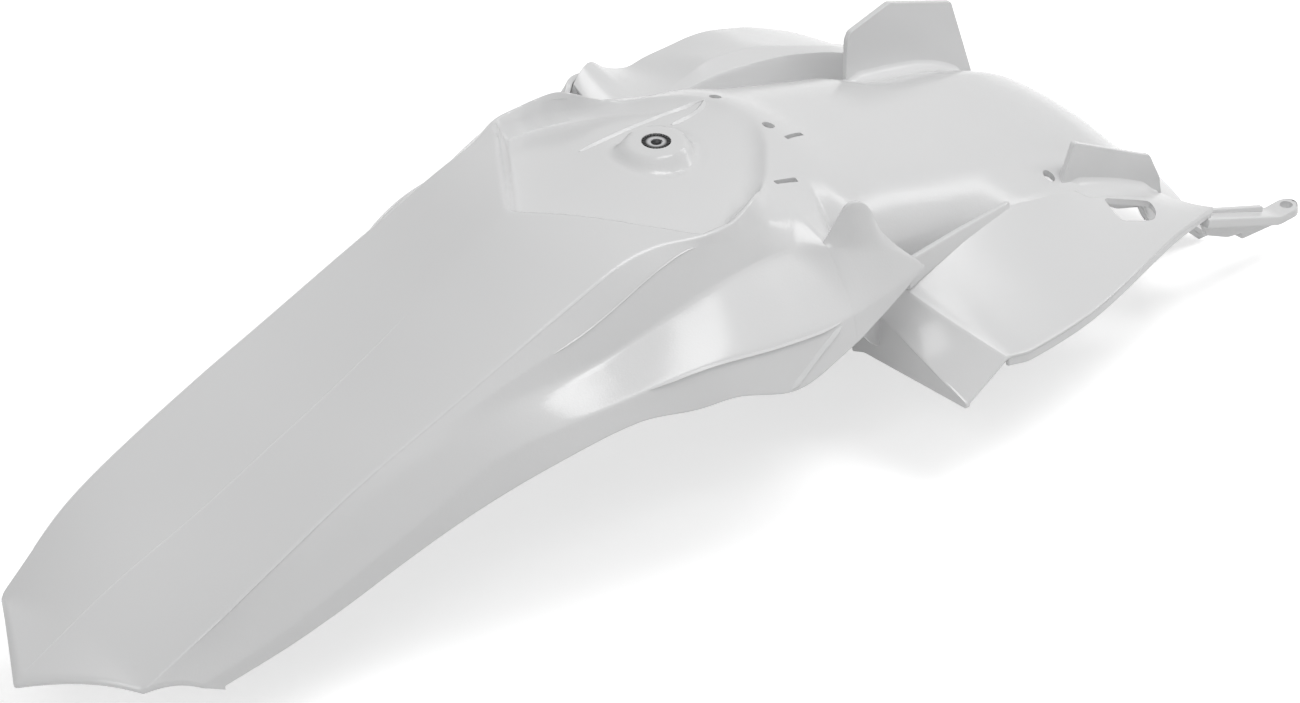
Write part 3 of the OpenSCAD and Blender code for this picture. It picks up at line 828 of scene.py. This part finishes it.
def moulded_plastic():
    """White moulded plastic: faint flow marks, a fine satin grain and a few soft scuffs."""
    shade = Shade("white_moulded_plastic")
    place = shade.node("ShaderNodeTexCoord", {}, {}, out="Object")
    flow = shade.node("ShaderNodeTexNoise", {"noise_dimensions": "3D"},
                      {"Vector": place, "Scale": 9.0, "Detail": 3.0, "Roughness": 0.55})
    grain = shade.node("ShaderNodeTexNoise", {"noise_dimensions": "3D"},
                       {"Vector": place, "Scale": 900.0, "Detail": 2.0, "Roughness": 0.6})
    scuff_place = shade.node("ShaderNodeMapping", {}, {"Vector": place, "Scale": (0.25, 2.6, 1.2)})
    scuff = shade.node("ShaderNodeTexNoise", {"noise_dimensions": "3D"},
                       {"Vector": scuff_place, "Scale": 120.0, "Detail": 4.0, "Roughness": 0.7})
    worn = shade.node("ShaderNodeMapRange", {"interpolation_type": "SMOOTHSTEP"},
                      {"Value": scuff, "From Min": 0.62, "From Max": 0.9})
    colour = shade.node("ShaderNodeMix", {"data_type": "RGBA"},
                        {"Factor": flow, "A": (0.735, 0.737, 0.740, 1), "B": (0.775, 0.776, 0.778, 1)}, out=2)
    bump = shade.node("ShaderNodeBump", {}, {"Strength": 0.10, "Distance": 0.0004, "Height": grain})
    return shade.finish(Base_Color=colour, Roughness=0.15 + flow * 0.06 + grain * 0.04 + worn * 0.05, Normal=bump,
                        IOR=1.49)


def turned_insert():
    """The insert's bored sleeve, without its knurl and thread."""
    bm = bmesh.new()
    top, bore, outer, length = -0.3, 2.5, 5.5, 12.0
    profile = [(bore + 0.5, top - 0.1), (bore + 0.9, top), (outer - 0.35, top), (outer, top - 0.35),
               (outer, -length + 0.4), (outer - 0.4, -length), (bore + 0.9, -length), (bore + 0.5, -length + 0.4)]
    count = 72
    rings = [[bm.verts.new((r * math.cos(a), r * math.sin(a), z))
              for a in np.linspace(0, 2 * math.pi, count, endpoint=False)] for r, z in profile]
    for low, high in zip(rings, rings[1:] + rings[:1]):
        for k in range(count):
            bm.faces.new((low[k], low[(k + 1) % count], high[(k + 1) % count], high[k]))
    bmesh.ops.recalc_face_normals(bm, faces=bm.faces)
    bmesh.ops.scale(bm, vec=(0.001, 0.001, 0.001), verts=bm.verts)
    mesh = bpy.data.meshes.new("turned_sleeve")
    bm.to_mesh(mesh)
    bm.free()
    piece = bpy.data.objects.new("turned_sleeve", mesh)
    bpy.context.scene.collection.objects.link(piece)
    return piece


def ring_of_teeth(name, finish, sizes):
    """Geometry Nodes: small blocks round a ring, stacked in rows that climb like a thread."""
    tree = bpy.data.node_groups.new(name, "GeometryNodeTree")
    face = tree.interface
    face.new_socket("Geometry", in_out="OUTPUT", socket_type="NodeSocketGeometry")
    kinds = {int: "NodeSocketInt", float: "NodeSocketFloat", tuple: "NodeSocketVector"}
    made = {key: face.new_socket(key, in_out="INPUT", socket_type=kinds[type(value)])
            for key, value in sizes.items()}
    given = tree.nodes.new("NodeGroupInput")

    def node(kind, settings=None, **sockets):
        new = tree.nodes.new(kind)
        for key, value in (settings or {}).items():
            setattr(new, key, value)
        for key, value in sockets.items():
            socket = new.inputs[int(key[2:]) if key.startswith("at") else key]
            if isinstance(value, bpy.types.NodeSocket):
                tree.links.new(value, socket)
            else:
                socket.default_value = value
        return new.outputs

    def calc(operation, *values):
        return node("ShaderNodeMath", {"operation": operation}, **{"at%d" % k: v for k, v in enumerate(values)})[0]

    count, radius, rows_up, rise = (given.outputs[key] for key in ("Teeth", "Radius", "Rows", "Climb"))
    line = node("GeometryNodeMeshLine", {"mode": "OFFSET"}, Count=calc("MULTIPLY", count, rows_up))[0]
    turn = calc("DIVIDE", node("GeometryNodeInputIndex")[0], count)
    angle = calc("MULTIPLY", turn, 2 * math.pi)
    x = calc("MULTIPLY", calc("COSINE", angle), radius)
    y = calc("MULTIPLY", calc("SINE", angle), radius)
    drop = calc("SUBTRACT", given.outputs["Start"], calc("MULTIPLY", turn, rise))
    spot = node("ShaderNodeCombineXYZ", X=x, Y=y, Z=drop)[0]
    wobble = node("FunctionNodeRandomValue", {"data_type": "FLOAT"}, at2=0.94, at3=1.06, Seed=TEETH_SEED)
    placed = node("GeometryNodeSetPosition", Geometry=line, Position=spot)[0]
    facing = node("ShaderNodeCombineXYZ", Z=angle)[0]
    block = node("GeometryNodeMeshCube", Size=given.outputs["Tooth"])[0]
    scale = next(o for o in wobble if o.enabled)
    copies = node("GeometryNodeInstanceOnPoints", Points=placed, Instance=block, Rotation=facing, Scale=scale)[0]
    solid = node("GeometryNodeRealizeInstances", Geometry=copies)[0]
    dressed = node("GeometryNodeSetMaterial", Geometry=solid, Material=finish)[0]
    tree.links.new(dressed, tree.nodes.new("NodeGroupOutput").inputs[0])
    mesh = bpy.data.meshes.new(name)
    piece = bpy.data.objects.new(name, mesh)
    bpy.context.scene.collection.objects.link(piece)
    repeat = piece.modifiers.new(name, "NODES")
    repeat.node_group = tree
    for key, value in sizes.items():
        repeat[made[key].identifier] = value
    settle(piece)
    return piece


def zinc_steel():
    """Dark plated steel of the insert, with turned rings and a painted highlight: the face round the bore is made
    light.
    """
    shade = Shade("zinc_steel")
    place = shade.node("ShaderNodeTexCoord", {}, {}, out="Object")
    turned = shade.node("ShaderNodeTexWave", {"wave_type": "RINGS", "rings_direction": "Z"},
                        {"Vector": place, "Scale": 700.0, "Distortion": 1.5, "Detail": 2.0})
    patch = shade.node("ShaderNodeTexNoise", {"noise_dimensions": "3D"},
                       {"Vector": place, "Scale": 420.0, "Detail": 3.0})
    colour = shade.node("ShaderNodeMix", {"data_type": "RGBA"},
                        {"Factor": patch, "A": (0.0525, 0.0525, 0.0539, 1), "B": (0.084, 0.084, 0.0854, 1)},
                        out=2)
    spread = shade.node("ShaderNodeMapping", {}, {"Vector": place, "Scale": (1000.0, 1000.0, 0.0)})
    off = shade.node("ShaderNodeVectorMath", {"operation": "LENGTH"}, {0: spread}, out=1)
    # Painted highlight: the top face round the bore is coloured light grey, fading to the dark plating outwards
    painted_highlight_ring = shade.node("ShaderNodeMapRange", {"interpolation_type": "SMOOTHSTEP"},
                           {"Value": off, "From Min": 5.3, "From Max": 3.6})
    colour = shade.node("ShaderNodeMix", {"data_type": "RGBA"},
                        {"Factor": painted_highlight_ring, "A": colour, "B": (0.5, 0.5, 0.51, 1)}, out=2)
    bump = shade.node("ShaderNodeBump", {}, {"Strength": 0.25, "Distance": 0.0001, "Height": turned})
    return shade.finish(Base_Color=colour, Metallic=1.0, Roughness=0.3 + patch * 0.18, Normal=bump)


def finish_mesh(piece, angle=38):
    """Smooth shading with crisp corners, weighted by face area so that flat walls stay flat."""
    mesh = piece.data
    mesh.shade_smooth()
    bm = bmesh.new()
    bm.from_mesh(mesh)
    for edge in bm.edges:
        edge.smooth = not (len(edge.link_faces) == 2 and edge.calc_face_angle(0) > math.radians(angle))
    bm.to_mesh(mesh)
    bm.free()
    weigh = piece.modifiers.new("even shading", "WEIGHTED_NORMAL")
    weigh.keep_sharp, weigh.mode, weigh.weight = True, "FACE_AREA", 50
    settle(piece)


def join(name, pieces):
    """One mesh object from several."""
    bm = bmesh.new()
    for piece in pieces:
        bm.from_mesh(piece.data)
        bpy.data.objects.remove(piece)
    mesh = bpy.data.meshes.new(name)
    bm.to_mesh(mesh)
    bm.free()
    joined = bpy.data.objects.new(name, mesh)
    bpy.context.scene.collection.objects.link(joined)
    return joined


def slit(x, r, turn):
    """Cutter for one slit."""
    half_len, half_w = SLOT_LEN / 2, SLOT_W / 2
    corners = rounded([(-half_len, -half_w), (half_len, -half_w), (half_len, half_w), (-half_len, half_w)], 0.8)
    a = math.radians(-turn)
    spun = corners @ np.array([[math.cos(a), math.sin(a)], [-math.sin(a), math.cos(a)]])
    return prism("slit", spun + [x, -r], 96, 126)


skin = to_object("skin", build_skin())
drill(skin, [prism("insert seat", disc(BOLT_X, 0, INSERT_SEAT_R, 64), BOLT_Z - 20, BOLT_Z + 4)]
      + [prism("locating hole", disc(DOT_X, side * DOT_Y, DOT_D / 2), 95, 125) for side in (-1, 1)]
      + [prism("tab hole", disc(TAB_HOLE_X, TAB_HOLE_Y, TAB_HOLE_D / 2), 30, 80)]
      + [slit(*slot) for slot in SLOTS])
plates = to_object("plates", build_plates())
drill(plates, [prism("window", rounded([(x, -r) for x, r in WINDOW], 3.5), -5, 55)])
tabs = to_object("tabs", build_tabs())
arm = to_object("arm", build_arm())
drill(arm, [prism("arm hole", disc(ARM_TIP[0], ARM_TIP[1], ARM_HOLE_D / 2), -40, 10)])
trim = to_object("trim", build_trim())
creases = to_object("creases", build_creases())
shell_piece = join("moulded_fender", [skin, plates, trim, creases, tabs, arm])
finish_mesh(shell_piece)
shell_piece.data.materials.append(moulded_plastic())
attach(shell_piece, "root")
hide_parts("fender_shell")

# The insert, in metres from its own top centre
steel = zinc_steel()
teeth = ring_of_teeth("knurl_teeth", steel, {"Teeth": 26, "Radius": 0.00605, "Rows": 1, "Climb": 0.0,
                                             "Start": -0.0013, "Tooth": (0.0015, 0.00085, 0.0024)})
thread = ring_of_teeth("thread_turns", steel, {"Teeth": 36, "Radius": 0.00278, "Rows": 14, "Climb": 0.0008,
                                               "Start": -0.0005, "Tooth": (0.0005, 0.00052, 0.0004)})
insert_piece = join("threaded_insert", [turned_insert(), teeth, thread])
finish_mesh(insert_piece, 30)
insert_piece.data.materials.clear()
insert_piece.data.materials.append(steel)
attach(insert_piece, "root")
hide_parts("seat_bolt_insert")
print("triangles", sum(len(p.vertices) - 2 for p in shell_piece.data.polygons))

# Camera, floor and light
scene = bpy.context.scene
camera_data = bpy.data.cameras.new("camera")
camera_data.sensor_width, camera_data.lens = FILM_WIDTH, LENS
camera_data.clip_start, camera_data.clip_end = 0.1, 100
camera = bpy.data.objects.new("camera", camera_data)
scene.collection.objects.link(camera)
camera.location = CAMERA_PLACE
camera.rotation_euler = (Vector(CAMERA_AIM) - camera.location).to_track_quat("-Z", "Y").to_euler()
scene.camera = camera


def lamp(name, place, aim, size, power):
    """Soft rectangular lamp at a place, turned to its aim."""
    light = bpy.data.lights.new(name, "AREA")
    light.shape, light.size, light.size_y, light.energy = "RECTANGLE", size[0], size[1], power
    holder = bpy.data.objects.new(name, light)
    holder.location = place
    holder.rotation_euler = (Vector(aim) - Vector(place)).to_track_quat("-Z", "Y").to_euler()
    scene.collection.objects.link(holder)


lamp("overhead_softbox", (0.78, -0.5, 2.28), (0, 0, -0.06), (1.15, 1.15), 22)
lamp("tall_softbox", (2.0, -0.82, 1.2), (0, 0, -0.06), (0.3, 1.9), 8.5)
lamp("tail_softbox", (-1.7, -0.9, 1.5), (-0.1, 0, 0), (1.0, 1.0), 10.5)

world = bpy.data.worlds.new("studio")
scene.world = world
world.use_nodes = True
studio = Nodes(world.node_tree)
room = studio.node("ShaderNodeBackground", {}, {"Color": WHITE, "Strength": ROOM_LEVEL})
seen = studio.node("ShaderNodeBackground", {}, {"Color": WHITE, "Strength": 1.0})
either = studio.node("ShaderNodeMixShader", {}, {0: studio.direct_rays(), 1: room, 2: seen})
studio.put(studio.tree.nodes.new("ShaderNodeOutputWorld").inputs["Surface"], either)

low = min(v.co.z for v in shell_piece.data.vertices) - 0.0005
floor_mesh = bpy.data.meshes.new("floor")
floor_mesh.from_pydata([(-6, -6, low), (6, -6, low), (6, 6, low), (-6, 6, low)], [], [(0, 1, 2, 3)])
floor = bpy.data.objects.new("floor", floor_mesh)
scene.collection.objects.link(floor)
floor_shade = Shade("pale_floor")
glow = floor_shade.node("ShaderNodeEmission", {},
                        {"Color": WHITE, "Strength": floor_shade.direct_rays() * FLOOR_GLOW})
floor_shade.finish(Base_Color=(0.8, 0.8, 0.8, 1), Roughness=0.9)
plain = Wire(floor_shade, floor_shade.surface.outputs[0])
floor_shade.put(floor_shade.output.inputs[0], floor_shade.node("ShaderNodeAddShader", {}, {0: glow, 1: plain}))
floor_mesh.materials.append(floor_shade.material)

scene.view_settings.view_transform = "Standard"
